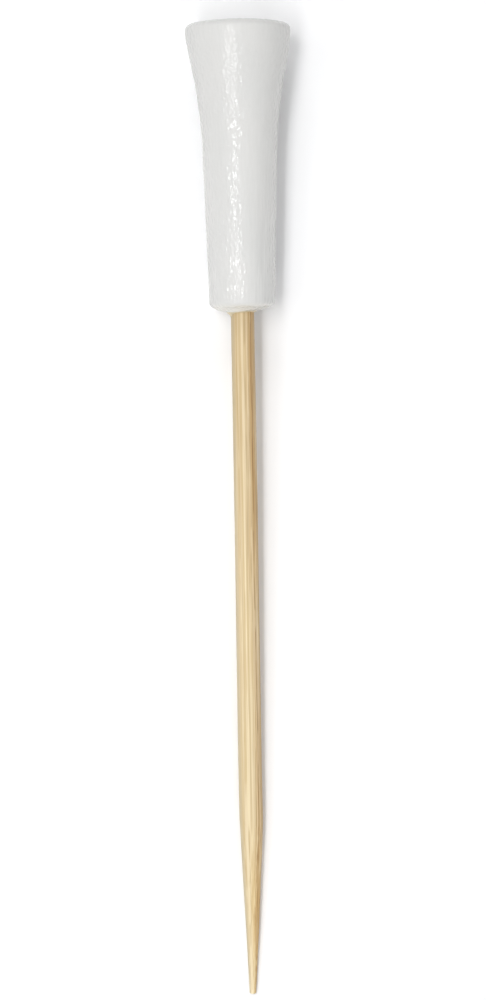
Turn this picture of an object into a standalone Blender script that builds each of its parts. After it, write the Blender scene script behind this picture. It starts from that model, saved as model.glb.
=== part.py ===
"""Wooden golf tee pick: a turned, white painted tee-shaped head glued on a slim bamboo stick.

The object stands upright on +Z. The origin is the centre of the stick's blunt tip, and the head is
at the top. All pieces are turned round the Z axis. Lengths are in metres.

Pieces:
  tee_head      turned hardwood: dished top, rolled rim, flare, long slight taper, conical shoulder,
                and a blind bore drilled up from the shoulder
  bamboo_stick  round bamboo stick with a long taper to a blunt tip, its top end in the bore
  glue_joint    set wood glue: a sleeve round the stick inside the bore, ending in a bead at the mouth
"""

import math

import bpy

MM = 0.001

TOTAL_LENGTH = 120.0 * MM

# Head, outside. "Depth" is measured down from the rim.
HEAD_LENGTH = 35.12 * MM  # rim to the mouth of the bore
RIM_RADIUS = 6.46 * MM  # widest point
RIM_ROUND = 0.80 * MM  # rounding of the rim's outer edge
RIM_LAND_IN = 5.10 * MM  # inner edge of the flat ring on top of the rim
CUP_RADIUS = 21.35 * MM  # the dish fits a ball of this radius
# Stations of the side: (depth, radius, change of radius with depth)
SIDE_STATIONS = (
    (0.90 * MM, 6.458 * MM, -0.030),
    (2.60 * MM, 6.285 * MM, -0.150),
    (8.00 * MM, 5.310 * MM, -0.145),
    (14.60 * MM, 4.600 * MM, -0.0287),
    (33.90 * MM, 4.050 * MM, -0.0285),
)
SHOULDER_ANGLE = math.radians(16.0)  # slope of the conical underside, from horizontal
SHOULDER_ROUND = 0.70 * MM  # rounding between side and underside

# Head, bore
BORE_RADIUS = 1.59 * MM
BORE_DEPTH = 16.0 * MM  # mouth to the end of the straight bore
DRILL_POINT_ANGLE = math.radians(31.0)  # slope of the bore's conical end, from horizontal
MOUTH_BREAK = 0.12 * MM  # small broken edge at the mouth
MOUTH_RADIUS = BORE_RADIUS + MOUTH_BREAK
MOUTH_Z = TOTAL_LENGTH - HEAD_LENGTH

# Stick
STICK_RADIUS = 1.45 * MM
STICK_IN_BORE = 15.0 * MM  # length glued into the head
STICK_TOP_Z = MOUTH_Z + STICK_IN_BORE
STICK_TOP_BREAK = 0.25 * MM  # broken edge at the hidden end
POINT_LENGTH = 22.0 * MM  # length of the tapered point
POINT_POWER = 1.06  # 1 is a straight cone; more softens the start of the taper
TIP_RADIUS = 0.40 * MM
TIP_ROUND = 0.12 * MM

# Glue
GLUE_GAP = 0.02 * MM  # clearance modelled on each side of the glue
GLUE_SLEEVE_LENGTH = 14.4 * MM  # mouth to the top of the sleeve
BEAD_RADIUS = 2.00 * MM
BEAD_HEIGHT = 0.32 * MM  # mouth to the bottom of the bead
BEAD_FOOT_WIDTH = 0.03 * MM  # flat ring at the bottom of the bead
BEAD_POWER = 1.8  # 1 is a straight face; more hollows it

# Sides of each piece round Z
HEAD_SIDES = 64
STICK_SIDES = 48
GLUE_SIDES = 48

# Profile steps along each curve
CUP_STEPS = 6
RIM_STEPS = 6
SIDE_STEPS = (2, 6, 6, 6)  # between one station and the next
SHOULDER_STEPS = 6
POINT_STEPS = 8
TIP_STEPS = 3
BEAD_STEPS = 5

MERGE_DISTANCE = 0.001 * MM
SHARP_ANGLE = math.radians(40)  # edges that turn more than this are shaded sharp


def clear_scene():
    for obj in list(bpy.data.objects):
        bpy.data.objects.remove(obj, do_unlink=True)


def new_collection(name):
    collection = bpy.data.collections.new(name)
    bpy.context.scene.collection.children.link(collection)
    return collection


def new_material(name, color, roughness):
    material = bpy.data.materials.new(name)
    material.use_nodes = True
    shader = material.node_tree.nodes["Principled BSDF"]
    shader.inputs["Base Color"].default_value = (*color, 1.0)
    shader.inputs["Roughness"].default_value = roughness
    material.diffuse_color = (*color, 1.0)
    return material


def arc(center_r, center_z, radius, start, end, steps):
    """Points on a circular arc of the profile plane, by angle from +r towards +z."""
    points = []
    for i in range(steps + 1):
        angle = start + (end - start) * i / steps
        points.append(
            (center_r + radius * math.cos(angle), center_z + radius * math.sin(angle))
        )
    return points


def side_radius_between(upper, lower, share):
    """Cubic Hermite radius at a share of the depth from the upper to the lower station."""
    upper_depth, upper_radius, upper_slope = upper
    lower_depth, lower_radius, lower_slope = lower
    length = lower_depth - upper_depth
    return (
        (2 * share**3 - 3 * share**2 + 1) * upper_radius
        + (share**3 - 2 * share**2 + share) * length * upper_slope
        + (-2 * share**3 + 3 * share**2) * lower_radius
        + (share**3 - share**2) * length * lower_slope
    )


def turned(name, profile, sides, collection, material):
    """A solid of revolution: the (r, z) profile, run down its outer side, screwed round Z."""
    mesh = bpy.data.meshes.new(name)
    vertices = [(radius, 0.0, z) for radius, z in profile]
    edges = [(i, i + 1) for i in range(len(vertices) - 1)]
    mesh.from_pydata(vertices, edges, [])
    mesh.materials.append(material)
    obj = bpy.data.objects.new(name, mesh)
    collection.objects.link(obj)
    screw = obj.modifiers.new("Turn", "SCREW")
    screw.axis = "Z"
    screw.angle = 2 * math.pi
    screw.steps = sides
    screw.render_steps = sides
    screw.use_merge_vertices = True
    screw.merge_threshold = MERGE_DISTANCE
    screw.use_smooth_shade = True
    return obj


def dish_points():
    """Spherical cup, from the axis out to the flat ring of the rim."""
    half = math.asin(RIM_LAND_IN / CUP_RADIUS)
    center_z = TOTAL_LENGTH + CUP_RADIUS * math.cos(half)
    down = -math.pi / 2
    points = arc(0.0, center_z, CUP_RADIUS, down, down + half, CUP_STEPS)
    # The first point must lie exactly on the axis.
    return [(0.0, center_z - CUP_RADIUS)] + points[1:]


def side_points():
    """Flare, throat and long taper, down to just above the last station."""
    points = []
    for upper, lower, steps in zip(SIDE_STATIONS, SIDE_STATIONS[1:], SIDE_STEPS):
        for i in range(steps):
            share = i / steps
            depth = upper[0] + (lower[0] - upper[0]) * share
            points.append((side_radius_between(upper, lower, share), TOTAL_LENGTH - depth))
    return points


def shoulder_points():
    """Rounded corner between the side and the conical underside."""
    side_radius = SIDE_STATIONS[-1][1]
    corner_z = MOUTH_Z + (side_radius - MOUTH_RADIUS) * math.tan(SHOULDER_ANGLE)
    turn = math.radians(90) - SHOULDER_ANGLE
    center_z = corner_z + SHOULDER_ROUND * math.tan(turn / 2)
    center_r = side_radius - SHOULDER_ROUND
    return arc(center_r, center_z, SHOULDER_ROUND, 0.0, -turn, SHOULDER_STEPS)


def bore_points():
    """Blind bore from its mouth up to the cone a drill leaves."""
    bore_end = MOUTH_Z + BORE_DEPTH
    return [
        (MOUTH_RADIUS, MOUTH_Z),
        (BORE_RADIUS, MOUTH_Z + MOUTH_BREAK),
        (BORE_RADIUS, bore_end),
        (0.0, bore_end + BORE_RADIUS * math.tan(DRILL_POINT_ANGLE)),
    ]


def head_profile():
    rim_edge = arc(
        RIM_RADIUS - RIM_ROUND, TOTAL_LENGTH - RIM_ROUND, RIM_ROUND, math.pi / 2, 0.0, RIM_STEPS
    )
    return dish_points() + rim_edge + side_points() + shoulder_points() + bore_points()


def stick_profile():
    points = [
        (0.0, STICK_TOP_Z),
        (STICK_RADIUS - STICK_TOP_BREAK, STICK_TOP_Z),
        (STICK_RADIUS, STICK_TOP_Z - STICK_TOP_BREAK),
    ]
    # The point starts softly, then runs almost straight to the tip.
    for i in range(POINT_STEPS + 1):
        share = i / POINT_STEPS
        radius = STICK_RADIUS + (TIP_RADIUS - STICK_RADIUS) * share**POINT_POWER
        points.append((radius, POINT_LENGTH + (TIP_ROUND - POINT_LENGTH) * share))
    tip_edge = arc(
        TIP_RADIUS - TIP_ROUND, TIP_ROUND, TIP_ROUND, 0.0, -math.pi / 2, TIP_STEPS
    )
    return points + tip_edge[1:] + [(0.0, 0.0)]


def glue_profile():
    """Closed profile of the sleeve and bead: the last point repeats the first."""
    inner = STICK_RADIUS + GLUE_GAP
    outer = BORE_RADIUS - GLUE_GAP
    sleeve_top = MOUTH_Z + GLUE_SLEEVE_LENGTH
    # The bead leans on the cone of the shoulder, one gap below it.
    drop = GLUE_GAP / math.cos(SHOULDER_ANGLE)
    bead_top = MOUTH_Z + (BEAD_RADIUS - MOUTH_RADIUS) * math.tan(SHOULDER_ANGLE) - drop
    bead_bottom = MOUTH_Z - BEAD_HEIGHT
    points = [
        (inner, sleeve_top),
        (outer, sleeve_top),
        (outer, MOUTH_Z + MOUTH_BREAK - drop),
        (MOUTH_RADIUS, MOUTH_Z - drop),
        (BEAD_RADIUS, bead_top),
    ]
    # Hollow face of the bead, curving down towards the stick.
    foot = inner + BEAD_FOOT_WIDTH
    for i in range(1, BEAD_STEPS + 1):
        share = i / BEAD_STEPS
        radius = foot + (BEAD_RADIUS - foot) * (1 - share) ** BEAD_POWER
        points.append((radius, bead_top + (bead_bottom - bead_top) * share))
    return points + [(inner, bead_bottom), points[0]]


def make_meshes(pieces):
    """Turn the screws into plain meshes, round faces smooth and real edges sharp."""
    bpy.context.view_layer.update()
    graph = bpy.context.evaluated_depsgraph_get()
    for piece in pieces:
        made = bpy.data.meshes.new_from_object(piece.evaluated_get(graph), depsgraph=graph)
        made.name = piece.name
        piece.modifiers.clear()
        piece.data = made
        made.shade_smooth()
        made.set_sharp_from_angle(angle=SHARP_ANGLE)


clear_scene()
parts = new_collection("golf_tee_pick")

white_paint = new_material("white_gloss_paint", color=(0.80, 0.80, 0.79), roughness=0.30)
bamboo = new_material("bamboo", color=(0.78, 0.60, 0.36), roughness=0.55)
set_glue = new_material("set_glue", color=(0.46, 0.38, 0.25), roughness=0.35)

make_meshes([
    turned("tee_head", head_profile(), HEAD_SIDES, parts, white_paint),
    turned("bamboo_stick", stick_profile(), STICK_SIDES, parts, bamboo),
    turned("glue_joint", glue_profile(), GLUE_SIDES, parts, set_glue),
])
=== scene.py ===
"""Looks of the golf tee pick: painted turned head, bamboo stick and the glue bead between them."""

import math

import bpy
import numpy as np
from mathutils import Matrix, Vector


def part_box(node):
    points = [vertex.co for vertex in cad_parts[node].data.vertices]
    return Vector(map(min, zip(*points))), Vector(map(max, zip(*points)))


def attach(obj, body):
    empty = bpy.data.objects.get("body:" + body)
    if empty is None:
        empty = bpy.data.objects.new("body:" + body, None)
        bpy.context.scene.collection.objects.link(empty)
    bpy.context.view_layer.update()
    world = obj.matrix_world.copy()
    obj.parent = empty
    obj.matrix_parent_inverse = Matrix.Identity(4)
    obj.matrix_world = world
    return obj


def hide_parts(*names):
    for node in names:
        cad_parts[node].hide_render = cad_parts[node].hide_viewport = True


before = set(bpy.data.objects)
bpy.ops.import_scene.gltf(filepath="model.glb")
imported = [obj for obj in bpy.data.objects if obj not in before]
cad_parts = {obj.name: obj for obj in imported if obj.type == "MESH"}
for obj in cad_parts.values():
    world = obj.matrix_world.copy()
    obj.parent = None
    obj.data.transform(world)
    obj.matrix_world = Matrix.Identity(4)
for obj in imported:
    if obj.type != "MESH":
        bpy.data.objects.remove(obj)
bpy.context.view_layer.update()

MM = 0.001

# ---------------------------------------------------------------- sizes, anchored on the CAD nodes
head_lo, head_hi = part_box("tee_head")
stick_lo, stick_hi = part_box("bamboo_stick")
glue_lo, glue_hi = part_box("glue_joint")
TOP = head_hi.z
MOUTH = head_lo.z
RIM = head_hi.x
STICK = stick_hi.x
STICK_TOP = stick_hi.z
GLUE_TOP = glue_hi.z

RIM_ROUND = 0.80 * MM
RIM_LAND_IN = 5.10 * MM
CUP_RADIUS = 21.35 * MM
SIDE_STATIONS = (
    (0.90 * MM, 6.458 * MM, -0.030),
    (2.60 * MM, 6.285 * MM, -0.150),
    (8.00 * MM, 5.310 * MM, -0.145),
    (14.60 * MM, 4.600 * MM, -0.0287),
    (33.90 * MM, 4.050 * MM, -0.0285),
)
SHOULDER_ANGLE = math.radians(16.0)
SHOULDER_ROUND = 0.70 * MM
BORE_RADIUS = 1.59 * MM
BORE_DEPTH = 16.0 * MM
DRILL_POINT_ANGLE = math.radians(31.0)
MOUTH_BREAK = 0.12 * MM
POINT_LENGTH = 22.0 * MM
TIP_RADIUS = 0.40 * MM
TIP_ROUND = 0.12 * MM


# ---------------------------------------------------------------- turned meshes
def arc(center, radius, start, end, steps):
    """Points on a circular arc of the profile plane, by angle from +r towards +z."""
    angles = np.linspace(start, end, steps + 1)
    return [
        (center[0] + radius * math.cos(a), center[1] + radius * math.sin(a))
        for a in angles
    ]


def hermite(a, b, t):
    length = b[0] - a[0]
    return (
        (2 * t**3 - 3 * t**2 + 1) * a[1]
        + (t**3 - 2 * t**2 + t) * length * a[2]
        + (-2 * t**3 + 3 * t**2) * b[1]
        + (t**3 - t**2) * length * b[2]
    )


def line(a, b, steps):
    """Points after a, up to and including b."""
    return [
        (a[0] + (b[0] - a[0]) * i / steps, a[1] + (b[1] - a[1]) * i / steps)
        for i in range(1, steps + 1)
    ]


def profile_normals(profile):
    """Outward normals (r, z) of a profile that runs down the outer side."""
    p = np.array(profile)
    d = np.gradient(p, axis=0)
    n = np.stack([-d[:, 1], d[:, 0]], 1)
    return n / np.maximum(np.linalg.norm(n, axis=1, keepdims=True), 1e-12)


def waves(rng, count, around, along, spectrum=None):
    """Random waves on a turned surface. around and along give (low, high) for whole waves round
    the axis and for waves per metre along it. Returns a list to sum with field()."""
    out = []
    for _ in range(count):
        n = int(round(rng.uniform(*around)))
        k = 2 * math.pi * rng.uniform(*along) * rng.choice([-1.0, 1.0])
        out.append((n, k, rng.uniform(0, 2 * math.pi), rng.normal()))
    return out


def isotropic(rng, count, radius, shortest, longest):
    """Waves of random direction whose length lies between shortest and longest, in metres."""
    out = []
    for _ in range(count):
        length = rng.uniform(shortest, longest)
        angle = rng.uniform(0, math.pi)
        n = int(round(2 * math.pi / length * math.cos(angle) * radius))
        k = 2 * math.pi / length * math.sin(angle)
        out.append((n, k, rng.uniform(0, 2 * math.pi), rng.normal()))
    return out


def field(parts, s, theta):
    """Sum of the waves at every (s, theta), scaled to an RMS of 1."""
    n = np.array([p[0] for p in parts], float)
    k = np.array([p[1] for p in parts], float)
    phase = np.array([p[2] for p in parts], float)
    amp = np.array([p[3] for p in parts], float)
    ks = np.outer(s, k)
    nt = np.outer(n, theta) + phase[:, None]
    total = (np.cos(ks) * amp) @ np.cos(nt) - (np.sin(ks) * amp) @ np.sin(nt)
    return total / math.sqrt((amp**2).sum() / 2)


def turned_mesh(name, profile, segments, shape=None, center=None):
    """A closed solid of revolution. profile runs from the axis down the outer side and back to
    the axis. shape(points, theta) gives the offset along the profile normal for each ring point,
    and center(z) the (x, y) of the axis at height z."""
    p = np.array(profile, float)
    theta = np.linspace(0, 2 * math.pi, segments, endpoint=False)
    inner = p[1:-1]
    normals = profile_normals(profile)[1:-1]
    rings = len(inner)
    r = np.repeat(inner[:, :1], segments, 1)
    z = np.repeat(inner[:, 1:], segments, 1)
    if shape is not None:
        off = shape(inner, theta)
        r = r + off * normals[:, :1]
        z = z + off * normals[:, 1:]
    x = r * np.cos(theta)
    y = r * np.sin(theta)
    if center is not None:
        cx, cy = center(z)
        x, y = x + cx, y + cy
    grid = np.stack([x, y, z], 2).reshape(-1, 3)
    ends = []
    for q in (p[0], p[-1]):
        c = (0.0, 0.0) if center is None else center(np.array(q[1]))
        ends.append((float(c[0]), float(c[1]), q[1]))
    verts = np.concatenate([grid, np.array(ends)])
    i = np.arange(rings - 1)[:, None] * segments
    j = np.arange(segments)[None, :]
    k = (j + 1) % segments
    quads = np.stack([i + j, i + segments + j, i + segments + k, i + k], 2).reshape(-1, 4)
    top, bottom = rings * segments, rings * segments + 1
    last = (rings - 1) * segments
    js = np.arange(segments)
    ks = (js + 1) % segments
    fan_top = np.stack([np.full(segments, top), js, ks], 1)
    fan_bottom = np.stack([np.full(segments, bottom), last + ks, last + js], 1)
    mesh = bpy.data.meshes.new(name)
    mesh.from_pydata(
        verts.tolist(), [], quads.tolist() + fan_top.tolist() + fan_bottom.tolist()
    )
    mesh.update()
    mesh.shade_smooth()
    obj = bpy.data.objects.new(name, mesh)
    bpy.context.scene.collection.objects.link(obj)
    return obj


def ring_mesh(name, sections, segments):
    """A closed ring. sections(theta) gives the (r, z) loop, in order down its outer side."""
    theta = np.linspace(0, 2 * math.pi, segments, endpoint=False)
    loops = [np.array(sections(t), float) for t in theta]
    count = len(loops[0])
    verts = []
    for t, loop in zip(theta, loops):
        for r, z in loop:
            verts.append((r * math.cos(t), r * math.sin(t), z))
    faces = []
    for a in range(segments):
        b = (a + 1) % segments
        for i in range(count):
            j = (i + 1) % count
            faces.append((a * count + i, a * count + j, b * count + j, b * count + i))
    mesh = bpy.data.meshes.new(name)
    mesh.from_pydata(verts, [], faces)
    mesh.update()
    mesh.shade_smooth()
    mesh.set_sharp_from_angle(angle=math.radians(60))
    obj = bpy.data.objects.new(name, mesh)
    bpy.context.scene.collection.objects.link(obj)
    return obj


def smoothstep(a, b, x):
    t = np.clip((x - a) / (b - a), 0, 1)
    return t * t * (3 - 2 * t)


# ---------------------------------------------------------------- head
def head_profile():
    points = []
    half = math.asin(RIM_LAND_IN / CUP_RADIUS)
    center_z = TOP + CUP_RADIUS * math.cos(half)
    for a in np.linspace(0, half, 29):
        points.append((CUP_RADIUS * math.sin(a), center_z - CUP_RADIUS * math.cos(a)))
    points[0] = (0.0, points[0][1])
    land = (RIM - RIM_ROUND, TOP)
    points += line(points[-1], land, 5)
    points += arc((land[0], TOP - RIM_ROUND), RIM_ROUND, math.pi / 2, 0, 11)[1:]
    steps = (15, 46, 56, 156)
    for a, b, count in zip(SIDE_STATIONS, SIDE_STATIONS[1:], steps):
        for i in range(count):
            t = i / count
            points.append((hermite(a, b, t), TOP - a[0] - (b[0] - a[0]) * t))
    side = SIDE_STATIONS[-1][1]
    mouth = BORE_RADIUS + MOUTH_BREAK
    corner = MOUTH + (side - mouth) * math.tan(SHOULDER_ANGLE)
    turn = math.pi / 2 - SHOULDER_ANGLE
    back = SHOULDER_ROUND * math.tan(turn / 2)
    points += arc((side - SHOULDER_ROUND, corner + back), SHOULDER_ROUND, 0, -turn, 9)
    points += line(points[-1], (mouth, MOUTH), 16)
    points += line(points[-1], (BORE_RADIUS, MOUTH + MOUTH_BREAK), 2)
    end = MOUTH + BORE_DEPTH
    points += line(points[-1], (BORE_RADIUS, end), 12)
    points += line(points[-1], (0.0, end + BORE_RADIUS * math.tan(DRILL_POINT_ANGLE)), 3)
    return points


def head_shape(points, theta):
    """Paint over turned wood: fine ripples of the grain along the head, small lumps of the paint,
    and a slight unevenness of the turning."""
    rng = np.random.default_rng(21)
    z = points[:, 1]
    length = np.concatenate([[0], np.cumsum(np.linalg.norm(np.diff(points, axis=0), axis=1))])
    grain = field(waves(rng, 260, (14, 62), (20, 160)), z, theta)
    lumps = field(isotropic(rng, 420, 4.8 * MM, 0.34 * MM, 0.60 * MM), length, theta)
    soft = field(isotropic(rng, 120, 4.8 * MM, 1.4 * MM, 4.0 * MM), length, theta)
    turning = field(waves(rng, 24, (1, 4), (25, 110)), z, theta)
    patches = field(isotropic(rng, 60, 4.8 * MM, 4.0 * MM, 9.0 * MM), length, theta)
    amount = 0.65 + 0.35 * np.clip(patches, -1.5, 1.5) / 1.5
    # The lumps are strongest on the -Y side, and the shoulder is smooth.
    facing = 0.5 - 0.5 * np.sin(theta)
    amount = amount * (0.35 + 0.65 * facing**2) * smoothstep(0.4 * MM, 1.6 * MM, z - MOUTH)[:, None]
    offset = (
        grain * 2.6e-6 + lumps * 5.0e-6 * amount + soft * 6.0e-6 + turning * 1.2e-5
    )
    # The shoulder was sanded unevenly: it hangs lower on the -X side.
    low_side = np.exp(-((np.remainder(theta, 2 * math.pi) - math.radians(186)) / 0.80) ** 2)
    high_side = np.exp(-((np.remainder(theta + math.pi, 2 * math.pi) - math.pi) / 0.80) ** 2)
    under = z < MOUTH + 1.4 * MM
    belly = np.exp(-(((points[:, 0] - 2.85 * MM) / (0.80 * MM)) ** 2)) * under
    offset = offset + np.outer(belly, low_side * 0.24 * MM - high_side * 0.07 * MM)
    front = np.exp(-((np.remainder(theta, 2 * math.pi) - math.radians(242)) / 0.85) ** 2)
    lip = np.exp(-(((points[:, 0] - 2.10 * MM) / (0.50 * MM)) ** 2)) * under
    offset = offset + np.outer(lip, front * 0.26 * MM)
    # Nothing moves on the axis, and the bore stays as drilled.
    r = points[:, 0]
    keep = smoothstep(0.1 * MM, 1.2 * MM, r)
    index = np.arange(len(points))
    mouth_at = int(np.argmin(z + (r < 1.0 * MM) * 1.0))
    keep = keep * (index <= mouth_at) * smoothstep(0, 4, mouth_at - index)
    return offset * keep[:, None]


# ---------------------------------------------------------------- stick
def stick_profile():
    points = [(0.0, STICK_TOP)]
    edge = 0.25 * MM
    points += line(points[-1], (STICK - edge, STICK_TOP), 5)
    points += line(points[-1], (STICK, STICK_TOP - edge), 2)
    points += line(points[-1], (STICK, MOUTH + 1.0 * MM), 12)
    points += line(points[-1], (STICK, POINT_LENGTH), 300)
    steps = 120
    for i in range(1, steps + 1):
        t = i / steps
        z = POINT_LENGTH + (TIP_ROUND - POINT_LENGTH) * t
        points.append((STICK + (TIP_RADIUS - STICK) * t**1.06, z))
    points += arc((TIP_RADIUS - TIP_ROUND, TIP_ROUND), TIP_ROUND, 0, -math.pi / 2, 5)[1:]
    points += line(points[-1], (0.0, 0.0), 5)
    return points


def stick_shape(points, theta):
    """Fibres of the bamboo: fine grooves and ridges that run along the stick."""
    rng = np.random.default_rng(5)
    z = points[:, 1]
    r = points[:, 0]
    fine = field(waves(rng, 200, (16, 60), (6, 60)), z, theta)
    broad = field(waves(rng, 40, (3, 9), (4, 25)), z, theta)
    oval = field(waves(rng, 8, (2, 3), (3, 12)), z, theta)
    offset = fine * 3.0e-6 + broad * 6.0e-6 + oval * 8.0e-6
    share = np.clip(r / STICK, 0, 1)
    free = (z < MOUTH + 0.5 * MM).astype(float) * smoothstep(0.0, 0.35 * MM, r)
    chop = np.exp(-(((z - 0.1 * MM) / (0.25 * MM)) ** 2))
    rough = field(waves(rng, 60, (2, 9), (300, 900)), z, theta) * 8.0e-6 * chop[:, None]
    return (offset * (0.35 + 0.65 * share)[:, None] + rough) * free[:, None]


def stick_center(z):
    """The stick is a little bent, and its point was cut a little off centre."""
    z = np.asarray(z, float)
    bow = 0.050 * MM * np.exp(-(((z - 20 * MM) / (6 * MM)) ** 2))
    bow = bow + 0.045 * MM * np.exp(-(((z - 68 * MM) / (15 * MM)) ** 2))
    tip = -0.10 * MM * np.clip(1 - z / (8.5 * MM), 0, 1) ** 1.2
    return bow + tip, 0.02 * MM * np.sin(z / (19 * MM)) * smoothstep(0, 5 * MM, z)


# ---------------------------------------------------------------- glue
def bead_section(theta):
    """The glue: a thin sleeve in the bore, and an uneven bead at its mouth that is almost nothing
    except on the -X side, where it ran out further."""
    run = math.exp(-(((math.remainder(theta - math.radians(186), 2 * math.pi)) / 0.58) ** 2))
    uneven = 0.5 + 0.5 * math.sin(3 * theta + 0.7) * math.cos(2 * theta + 2.1)
    inner = STICK + 0.015 * MM
    outer = BORE_RADIUS - 0.02 * MM
    mouth = BORE_RADIUS + MOUTH_BREAK
    width = (1.82 + 0.06 * uneven + 0.30 * run) * MM
    height = (0.13 + 0.07 * uneven + 0.48 * run) * MM
    slope = math.tan(SHOULDER_ANGLE)
    edge = MOUTH + (width - mouth) * slope
    loop = [
        (inner, GLUE_TOP),
        (outer, GLUE_TOP),
        (outer, MOUTH + 0.07 * MM),
        (mouth, MOUTH - 0.01 * MM),
        (width, edge + 0.004 * MM - 0.10 * MM * run),
    ]
    low = MOUTH - height
    edge -= 0.10 * MM * run
    steps = 12
    for i in range(1, steps + 1):
        t = i / steps
        r = inner + 0.012 * MM + (width - inner - 0.012 * MM) * (1 - t) ** 1.5
        loop.append((r, edge + (low - edge) * t - 0.03 * MM * math.sin(math.pi * t)))
    loop.append((inner, low))
    return loop


# ---------------------------------------------------------------- materials
class Nodes:
    """Short forms for building a node tree."""

    def __init__(self, name):
        self.material = bpy.data.materials.new(name)
        self.material.use_nodes = True
        self.tree = self.material.node_tree
        self.tree.nodes.clear()
        self.x = -1600

    def add(self, kind, **settings):
        node = self.tree.nodes.new(kind)
        node.location = (self.x, 0)
        self.x += 60
        for key, value in settings.items():
            setattr(node, key, value)
        return node

    def link(self, a, b):
        self.tree.links.new(a, b)

    def coords(self, scale):
        """Object coordinates in metres, multiplied by scale."""
        source = self.add("ShaderNodeTexCoord")
        mapping = self.add("ShaderNodeMapping")
        mapping.inputs["Scale"].default_value = scale
        self.link(source.outputs["Object"], mapping.inputs["Vector"])
        return mapping.outputs["Vector"]

    def noise(self, scale, detail=3.0, roughness=0.5, distortion=0.0, vector=None):
        node = self.add("ShaderNodeTexNoise")
        node.inputs["Scale"].default_value = 1.0
        node.inputs["Detail"].default_value = detail
        node.inputs["Roughness"].default_value = roughness
        node.inputs["Distortion"].default_value = distortion
        self.link(self.coords(scale) if vector is None else vector, node.inputs["Vector"])
        return node.outputs["Fac"]

    def math(self, operation, a, b=0.0, clamp=False):
        node = self.add("ShaderNodeMath", operation=operation, use_clamp=clamp)
        for i, value in enumerate((a, b)):
            if isinstance(value, (int, float)):
                node.inputs[i].default_value = value
            else:
                self.link(value, node.inputs[i])
        return node.outputs[0]

    def remap(self, value, low, high, to_low=0.0, to_high=1.0):
        node = self.add("ShaderNodeMapRange", interpolation_type="SMOOTHSTEP")
        self.link(value, node.inputs["Value"])
        node.inputs["From Min"].default_value = low
        node.inputs["From Max"].default_value = high
        node.inputs["To Min"].default_value = to_low
        node.inputs["To Max"].default_value = to_high
        return node.outputs["Result"]

    def mix(self, factor, a, b, blend="MIX"):
        node = self.add("ShaderNodeMix", data_type="RGBA", blend_type=blend)
        for socket, value in ((node.inputs[0], factor), (node.inputs[6], a), (node.inputs[7], b)):
            if isinstance(value, (int, float)):
                socket.default_value = value
            elif isinstance(value, tuple):
                socket.default_value = (*value, 1.0)
            else:
                self.link(value, socket)
        return node.outputs[2]

    def bump(self, height, strength, distance, normal=None):
        node = self.add("ShaderNodeBump")
        node.inputs["Strength"].default_value = strength
        node.inputs["Distance"].default_value = distance
        self.link(height, node.inputs["Height"])
        if normal is not None:
            self.link(normal, node.inputs["Normal"])
        return node.outputs["Normal"]

    def finish(self, color, roughness, normal, **values):
        shader = self.add("ShaderNodeBsdfPrincipled")
        out = self.add("ShaderNodeOutputMaterial")
        for name, value in (("Base Color", color), ("Roughness", roughness), ("Normal", normal)):
            if isinstance(value, (int, float)):
                shader.inputs[name].default_value = value
            elif isinstance(value, tuple):
                shader.inputs[name].default_value = (*value, 1.0)
            elif value is not None:
                self.link(value, shader.inputs[name])
        for name, value in values.items():
            socket = shader.inputs[name.replace("_", " ")]
            if isinstance(value, (int, float)):
                socket.default_value = value
            else:
                self.link(value, socket)
        self.link(shader.outputs["BSDF"], out.inputs["Surface"])
        return self.material


def srgb(r, g, b):
    return tuple(
        (c / 12.92 if c <= 0.04045 else ((c + 0.055) / 1.055) ** 2.4)
        for c in (r / 255, g / 255, b / 255)
    )


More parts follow.
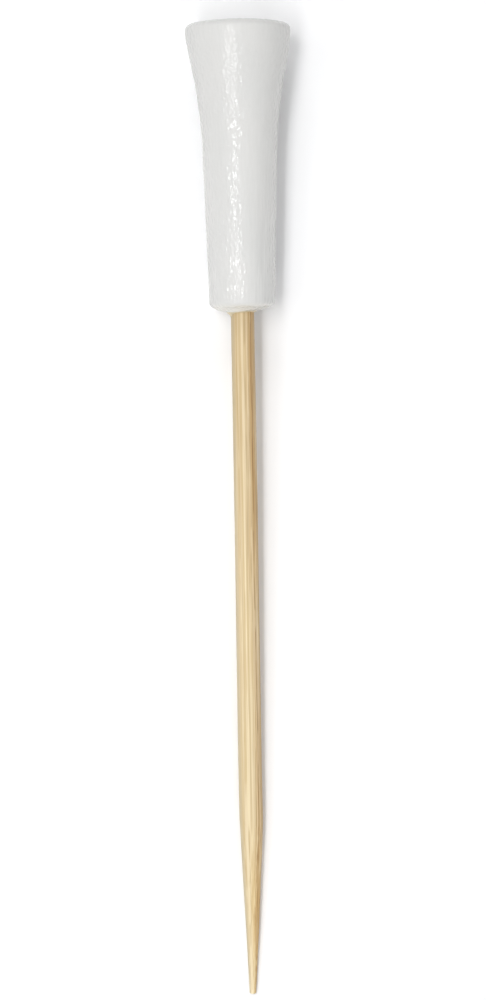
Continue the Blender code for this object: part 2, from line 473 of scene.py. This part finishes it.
def white_paint():
    n = Nodes("white_gloss_paint")
    source = n.add("ShaderNodeTexCoord")
    split = n.add("ShaderNodeSeparateXYZ")
    n.link(source.outputs["Object"], split.inputs[0])
    x, z = split.outputs["X"], split.outputs["Z"]
    cloud = n.noise((260, 260, 120), 3.0, 0.55)
    grain = n.noise((4000, 4000, 330), 4.0, 0.6, 0.2)
    # Towards the stick the dimples are drawn out along the head.
    lower = n.remap(z, 0.110, 0.096)
    upper = n.math("MULTIPLY", n.math("SUBTRACT", 1.0, lower), 1.25)
    dimple = n.math("MULTIPLY", n.noise((2300, 2300, 2300), 0.0, 0.5), upper)
    drawn = n.noise((3000, 3000, 1700), 0.0, 0.5)
    drawn = n.math("MULTIPLY", drawn, n.math("MULTIPLY", lower, 1.10))
    dimple = n.math("ADD", dimple, drawn)
    patch = n.noise((420, 420, 300), 2.0, 0.5)
    warm = n.mix(n.remap(cloud, 0.35, 0.65), (0.697, 0.697, 0.685), (0.711, 0.708, 0.695))
    grained = n.mix(
        n.remap(grain, 0.38, 0.62), (0.982, 0.982, 0.980), (1.0, 1.0, 1.0)
    )
    color = n.mix(1.0, warm, grained, "MULTIPLY")
    # The grain shows faintly through the paint, most on the lower +X side.
    streaks = n.remap(n.noise((3000, 3000, 100), 2.0, 0.5), 0.40, 0.60)
    share = n.math("MULTIPLY", n.remap(x, 0.0005, 0.0022), n.remap(z, 0.104, 0.094))
    darker = n.mix(1.0, color, (0.955, 0.955, 0.955), "MULTIPLY")
    color = n.mix(n.math("MULTIPLY", streaks, share), color, darker)
    # Painted shade: the colour is a touch greyer towards the rim. Painted light: it is lighter and warmer on the
    # shoulder, for the bounce from the table and the bamboo.
    rim_painted_shade = n.mix(1.0, color, (0.978, 0.978, 0.978), "MULTIPLY")
    color = n.mix(n.remap(z, 0.102, 0.112), color, rim_painted_shade)
    # Painted light on the shoulder: lighter and warmer.
    shoulder_painted_light = n.mix(1.0, color, (1.075, 1.065, 1.030), "MULTIPLY")
    color = n.mix(n.remap(z, MOUTH + 1.1 * MM, MOUTH + 0.4 * MM), color, shoulder_painted_light)
    normal = n.bump(grain, 0.6, 0.00003)
    # The gloss lies in a thin coat with the dimples of brushed paint; the colour under it is even.
    coat = n.bump(dimple, 1.0, 0.00010, normal)
    normal = n.bump(dimple, 1.0, 0.00001, normal)
    gloss = n.remap(patch, 0.35, 0.65, 0.04, 0.09)
    # The coat is a little less glossy towards the rim.
    shine = n.remap(z, 0.112, 0.1015, 0.75, 1.0)
    return n.finish(
        color, 0.5, normal, IOR=1.46, Specular_IOR_Level=0.0,
        Coat_Weight=shine, Coat_IOR=1.46, Coat_Roughness=gloss, Coat_Normal=coat,
    )


def bamboo():
    """Pale beige, with fibres along the stick; they lie denser on its +X side, and darker there partly as
    painted shade on the side away from the light. The stick gets a little browner towards the head."""
    n = Nodes("bamboo")
    source = n.add("ShaderNodeTexCoord")
    split = n.add("ShaderNodeSeparateXYZ")
    n.link(source.outputs["Object"], split.inputs[0])
    x, z = split.outputs["X"], split.outputs["Z"]
    radius = n.math("MINIMUM", n.math("ADD", n.math("MULTIPLY", z, (STICK - TIP_RADIUS) / POINT_LENGTH), TIP_RADIUS), STICK)
    side = n.math("DIVIDE", x, radius)
    # Denser fibres on the +X side, darker there partly as painted shade on the side away from the light.
    dense_and_shaded_side = n.remap(side, 0.05, 0.75)
    # The -X edge, which faces the light, gets a painted sheen: paler and greyer.
    edge = n.remap(side, -0.62, -0.96)
    broad = n.noise((1150, 1150, 16), 3.0, 0.5)
    fibre = n.noise((3300, 3300, 38), 4.0, 0.6, 0.1)
    lines = n.noise((6600, 6600, 62), 3.0, 0.65, 0.1)
    bright = n.noise((6100, 6100, 48), 2.0, 0.6)
    knots = n.noise((900, 900, 260), 2.0, 0.5)
    color = n.mix(n.remap(broad, 0.36, 0.64), srgb(214, 193, 151), srgb(234, 218, 183))
    color = n.mix(n.remap(fibre, 0.40, 0.60, 0.0, 0.55), color, srgb(205, 178, 130))
    color = n.mix(n.math("MULTIPLY", dense_and_shaded_side, n.remap(fibre, 0.30, 0.62, 0.25, 0.85)), color, srgb(194, 158, 106))
    dark_share = n.math("MULTIPLY", n.remap(lines, 0.54, 0.68), n.math("ADD", n.math("MULTIPLY", dense_and_shaded_side, 0.55), 0.20))
    color = n.mix(dark_share, color, srgb(150, 112, 68))
    # Single strands: place across the stick, half width, colour, strength, and where it starts
    # and ends along the stick.
    for place, width, tone, share, start, end in (
        (0.66, 0.034, (154, 114, 70), 0.80, -0.10, 0.20),
        (0.45, 0.030, (172, 134, 86), 0.65, -0.10, 0.20),
        (0.80, 0.028, (226, 200, 152), 0.55, -0.10, 0.20),
        (-0.52, 0.040, (196, 164, 112), 0.45, 0.030, 0.20),
        (-0.12, 0.050, (238, 222, 190), 0.55, -0.10, 0.20),
        (0.17, 0.130, (188, 162, 122), 0.50, 0.052, 0.20),
        (-0.40, 0.200, (240, 224, 190), 0.60, -0.10, 0.026),
    ):
        wander = n.math("MULTIPLY", n.math("SUBTRACT", n.noise((150, 150, 45), 2.0, 0.5), 0.5), 0.42)
        away = n.math("ABSOLUTE", n.math("SUBTRACT", n.math("ADD", side, wander), place))
        strand = n.remap(away, width, 0.35 * width)
        broken = n.remap(n.noise((60, 60, 110 + 200 * abs(place)), 1.0, 0.5), 0.40, 0.52)
        broken = n.math("MULTIPLY", broken, n.remap(z, start - 0.003, start + 0.003))
        broken = n.math("MULTIPLY", broken, n.remap(z, end + 0.003, end - 0.003))
        color = n.mix(n.math("MULTIPLY", n.math("MULTIPLY", strand, broken), share), color, srgb(*tone))
    light_share = n.math("MULTIPLY", n.remap(bright, 0.56, 0.70), 0.55)
    color = n.mix(light_share, color, srgb(242, 228, 192))
    # Painted sheen along the lit -X edge.
    color = n.mix(n.math("MULTIPLY", edge, 0.55), color, srgb(203, 192, 166))
    upper = n.remap(z, 0.045, 0.088, 0.0, 1.0)
    color = n.mix(upper, color, n.mix(1.0, color, (0.90, 0.87, 0.84), "MULTIPLY"))
    point = n.math("MULTIPLY", n.remap(z, 0.024, 0.010), n.remap(side, -0.35, 0.20))
    color = n.mix(point, color, n.mix(1.0, color, (1.02, 0.98, 0.87), "MULTIPLY"))
    rough = n.remap(fibre, 0.3, 0.7, 0.44, 0.62)
    normal = n.bump(fibre, 0.6, 0.00004)
    normal = n.bump(lines, 0.7, 0.00003, normal)
    normal = n.bump(knots, 0.3, 0.00004, normal)
    return n.finish(color, rough, normal, IOR=1.45)


def set_glue():
    n = Nodes("set_glue")
    cloud = n.noise((900, 900, 900), 3.0, 0.55)
    speck = n.noise((4200, 4200, 4200), 2.0, 0.5)
    color = n.mix(n.remap(cloud, 0.35, 0.65), srgb(196, 182, 152), srgb(218, 205, 175))
    rough = n.remap(cloud, 0.3, 0.7, 0.26, 0.40)
    normal = n.bump(speck, 0.4, 0.00003)
    return n.finish(color, rough, normal, IOR=1.48)


# ---------------------------------------------------------------- pieces
head = turned_mesh("painted_head", head_profile(), 270, head_shape)
head.data.materials.append(white_paint())
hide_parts("tee_head")
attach(head, "root")

stick = turned_mesh("bamboo_shaft", stick_profile(), 160, stick_shape, stick_center)
stick.data.materials.append(bamboo())
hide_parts("bamboo_stick")
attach(stick, "root")

bead = ring_mesh("glue_bead", bead_section, 192)
bead.data.materials.append(set_glue())
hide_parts("glue_joint")
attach(bead, "root")

# ---------------------------------------------------------------- table frame
# The pick lies on a white table, touching it with its rim and its tip, and the camera looks
# straight down at the table. Table coordinates: +X right, +Y towards the head, +Z up.
CAMERA_HEIGHT = 0.3468
TIP_AT = Vector((0.001338, -0.061513, 0.00042))
TOP_AT = Vector((-0.000651, 0.058338, 0.00640))
axis = (TOP_AT - TIP_AT).normalized()
into = Vector((0, 0, -1))
into = (into - axis * into.dot(axis)).normalized()
right = into.cross(axis)
TO_ROW = Matrix((right, into, axis)).to_4x4() @ Matrix.Translation(-TIP_AT)


def from_table(x, y, z):
    return TO_ROW @ Vector((x, y, z))


# ---------------------------------------------------------------- stage
def stage_surface(name, brightness, low, high, lift=0.0):
    """A matte white surface. The camera sees it from its front only, and not at a low angle, and
    sees it brighter than it lights the pick, as in an overexposed picture. lift adds an even
    brightness to it."""
    n = Nodes(name)
    path = n.add("ShaderNodeLightPath")
    white = (brightness * 0.998, brightness, brightness * 1.010)
    seen = n.mix(path.outputs["Is Camera Ray"], (0.90,) * 3, white)
    matte = n.add("ShaderNodeBsdfDiffuse")
    n.link(seen, matte.inputs["Color"])
    glow = n.add("ShaderNodeEmission")
    glow.inputs["Strength"].default_value = lift
    diffuse = n.add("ShaderNodeAddShader")
    n.link(matte.outputs[0], diffuse.inputs[0])
    n.link(glow.outputs[0], diffuse.inputs[1])
    clear = n.add("ShaderNodeBsdfTransparent")
    geometry = n.add("ShaderNodeNewGeometry")
    dot = n.add("ShaderNodeVectorMath", operation="DOT_PRODUCT")
    n.link(geometry.outputs["Incoming"], dot.inputs[0])
    n.link(geometry.outputs["True Normal"], dot.inputs[1])
    front = n.math("SUBTRACT", 1.0, geometry.outputs["Backfacing"])
    angle = n.math("MAXIMUM", n.remap(dot.outputs["Value"], low, high), n.math("SUBTRACT", 1.0, path.outputs["Is Camera Ray"]))
    share = n.math("MULTIPLY", angle, front)
    mix = n.add("ShaderNodeMixShader")
    n.link(share, mix.inputs[0])
    n.link(clear.outputs[0], mix.inputs[1])
    n.link(diffuse.outputs[0], mix.inputs[2])
    out = n.add("ShaderNodeOutputMaterial")
    n.link(mix.outputs[0], out.inputs["Surface"])
    return n.material


def surface(name, matrix, size, material):
    mesh = bpy.data.meshes.new(name)
    h = size / 2
    mesh.from_pydata(
        [(-h, -h, 0), (h, -h, 0), (h, h, 0), (-h, h, 0)], [], [(0, 1, 2, 3)]
    )
    mesh.materials.append(material)
    obj = bpy.data.objects.new(name, mesh)
    bpy.context.scene.collection.objects.link(obj)
    obj.matrix_world = matrix
    return obj


table = surface("table", TO_ROW, 1.2, stage_surface("table_white", 0.940, 0.10, 0.25))
floor = surface(
    "floor",
    Matrix.Translation((0, 0, -0.00002)),
    1.2,
    stage_surface("floor_white", 0.94, 0.25, 0.33, lift=0.14),
)
for ray in ("diffuse", "glossy", "transmission", "shadow", "volume_scatter"):
    setattr(floor, "visible_" + ray, False)

# ---------------------------------------------------------------- light
world = bpy.data.worlds.new("studio")
bpy.context.scene.world = world
world.use_nodes = True
tree = world.node_tree
tree.nodes.clear()
coord = tree.nodes.new("ShaderNodeTexCoord")
toward = tree.nodes.new("ShaderNodeVectorMath")
toward.operation = "DOT_PRODUCT"
toward.inputs[1].default_value = Vector((-1.0, 0.0, 0.0))
tree.links.new(coord.outputs["Generated"], toward.inputs[0])
ramp = tree.nodes.new("ShaderNodeMapRange")
ramp.inputs["From Min"].default_value = -1.0
ramp.inputs["From Max"].default_value = 1.0
ramp.inputs["To Min"].default_value = 0.21
ramp.inputs["To Max"].default_value = 0.21
tree.links.new(toward.outputs["Value"], ramp.inputs["Value"])
path = tree.nodes.new("ShaderNodeLightPath")
strength = tree.nodes.new("ShaderNodeMix")
tree.links.new(path.outputs["Is Camera Ray"], strength.inputs[0])
tree.links.new(ramp.outputs["Result"], strength.inputs[2])
strength.inputs[3].default_value = 1.05
background = tree.nodes.new("ShaderNodeBackground")
background.inputs["Color"].default_value = (1.0, 1.0, 1.0, 1.0)
tree.links.new(strength.outputs[0], background.inputs["Strength"])
world_out = tree.nodes.new("ShaderNodeOutputWorld")
tree.links.new(background.outputs["Background"], world_out.inputs["Surface"])


def area_light(name, across, along, width, height, power, distance=0.6):
    """An area light aimed at the middle of the pick. Its place is given by two angles in degrees,
    across and along the pick; its height runs along the pick."""
    a, b = math.radians(across), math.radians(along)
    place = (
        distance * math.sin(a) * math.cos(b),
        distance * math.sin(b),
        distance * math.cos(a) * math.cos(b),
    )
    data = bpy.data.lights.new(name, "AREA")
    data.shape = "RECTANGLE"
    data.size = width
    data.size_y = height
    data.energy = power
    obj = bpy.data.objects.new(name, data)
    bpy.context.scene.collection.objects.link(obj)
    at, to = from_table(*place), from_table(0, 0, 0)
    back = (at - to).normalized()
    up = (axis_row - back * axis_row.dot(back)).normalized()
    side = up.cross(back)
    obj.matrix_world = Matrix.Translation(at) @ Matrix((side, up, back)).transposed().to_4x4()
    obj.visible_camera = False
    # A narrow strip is only seen mirrored in the gloss; the others only light the surfaces.
    obj.visible_glossy = name.endswith("strip")
    obj.visible_diffuse = not name.endswith("strip")
    return obj


axis_row = Vector((0, 0, 1))
# Each light is 0.6 m from the pick: its angle off the camera's axis, its angle towards the head.
front_strip = area_light("key_strip", -16.6, -15, 0.07, 0.50, 1.50)
area_light("key_inner", -11, 0, 0.035, 0.50, 0.73)
area_light("key_outer", -16.5, 0, 0.09, 0.50, 0.87)
area_light("fill_left", -38, 0, 0.20, 0.50, 0.72)
area_light("fill_right", 60, 0, 0.25, 0.50, 0.49)
area_light("fill_top", 0, 52, 0.45, 0.18, 0.92)
area_light("fill_bottom", 0, -52, 0.45, 0.18, 1.24)
# The same set behind the pick, for a camera that looks at its back.
back_lights = [
    area_light("back_strip", 194, -15, 0.07, 0.50, 1.50),
    area_light("back_key", 194, 0, 0.12, 0.50, 1.10),
    area_light("back_left", 142, 0, 0.20, 0.50, 0.60),
    area_light("back_right", 240, 0, 0.25, 0.50, 0.45),
    area_light("back_top", 180, 52, 0.45, 0.18, 1.30),
    area_light("back_bottom", 180, -52, 0.45, 0.18, 0.75),
]

# ---------------------------------------------------------------- camera
camera_data = bpy.data.cameras.new("camera")
camera_data.lens = 100.0
camera_data.sensor_width = 36.0
camera_data.clip_start = 0.01
camera_data.clip_end = 10.0
camera = bpy.data.objects.new("camera", camera_data)
bpy.context.scene.collection.objects.link(camera)
camera.matrix_world = TO_ROW @ Matrix.Translation((0, 0, CAMERA_HEIGHT))
bpy.context.scene.camera = camera

# The table stands between the pick and a camera behind it, so it is left out of such a view, like
# the front strip, which would whiten the head's edge. The lights behind the pick are left out of
# every other view.
def hide_by_camera(obj, when_behind):
    """Leaves obj out of the render when the camera is behind the pick, or when it isn't. The
    property is on where the straight line through the camera's Y reaches 1, at 3 mm."""
    curve = obj.driver_add("hide_render")
    curve.driver.type = "SUM"
    depth = curve.driver.variables.new()
    depth.name = "depth"
    depth.type = "TRANSFORMS"
    depth.targets[0].id = camera
    depth.targets[0].transform_type = "LOC_Y"
    depth.targets[0].transform_space = "WORLD_SPACE"
    while curve.keyframe_points:
        curve.keyframe_points.remove(curve.keyframe_points[0])
    while curve.modifiers:
        curve.modifiers.remove(curve.modifiers[0])
    straight = curve.modifiers.new("GENERATOR")
    straight.mode = "POLYNOMIAL"
    straight.poly_order = 1
    straight.coefficients = (-2.0, 1000.0) if when_behind else (4.0, -1000.0)


hide_by_camera(table, True)
hide_by_camera(front_strip, True)
for light in back_lights:
    hide_by_camera(light, False)

bpy.context.scene.view_settings.view_transform = "Standard"
